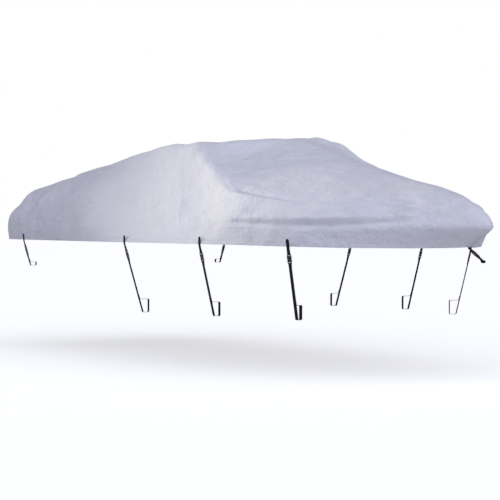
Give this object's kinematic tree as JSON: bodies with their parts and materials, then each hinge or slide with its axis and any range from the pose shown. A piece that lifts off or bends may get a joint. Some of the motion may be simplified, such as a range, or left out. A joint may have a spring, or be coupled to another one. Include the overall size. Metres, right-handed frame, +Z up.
{
  "type": "fitted boat cover",
  "caption": "Fitted trailerable cover of grey coated cloth, stretched over a screen and down over the gunwale, with webbing tie-downs and side-release buckles.",
  "frame": {"origin": "on the cloth's underside at its highest place on the middle line, over the middle of the screen's top frame", "axes": "+X towards the bow, +Y to port, +Z up"},
  "size_m": [5.23, 2.1138, 1.3088],
  "materials": {
    "cover_cloth": "solution-dyed polyester with a matt coating, silver grey with a slight lavender tint",
    "black_webbing": "flat woven polypropylene webbing, black",
    "black_plastic": "moulded acetal, black, fine satin texture"
  },
  "bodies": {
    "root": {"cover_cloth": "cover_cloth", "starboard_stern_tab": "black_webbing", "starboard_stern_socket": "black_plastic", "starboard_stern_plug": "black_plastic", "starboard_stern_strap": "black_webbing", "starboard_quarter_tab": "black_webbing", "starboard_quarter_socket": "black_plastic", "starboard_quarter_plug": "black_plastic", "starboard_quarter_strap": "black_webbing", "starboard_middle_tab": "black_webbing", "starboard_middle_socket": "black_plastic", "starboard_middle_plug": "black_plastic", "starboard_middle_strap": "black_webbing", "starboard_bow_tab": "black_webbing", "starboard_bow_socket": "black_plastic", "starboard_bow_plug": "black_plastic", "starboard_bow_strap": "black_webbing", "port_stern_tab": "black_webbing", "port_stern_socket": "black_plastic", "port_stern_plug": "black_plastic", "port_stern_strap": "black_webbing", "port_quarter_tab": "black_webbing", "port_quarter_socket": "black_plastic", "port_quarter_plug": "black_plastic", "port_quarter_strap": "black_webbing", "port_middle_tab": "black_webbing", "port_middle_socket": "black_plastic", "port_middle_plug": "black_plastic", "port_middle_strap": "black_webbing", "port_bow_tab": "black_webbing", "port_bow_socket": "black_plastic", "port_bow_plug": "black_plastic", "port_bow_strap": "black_webbing", "bow_tab": "black_webbing", "bow_socket": "black_plastic", "bow_plug": "black_plastic", "bow_strap": "black_webbing"}
  },
  "joints": []
}
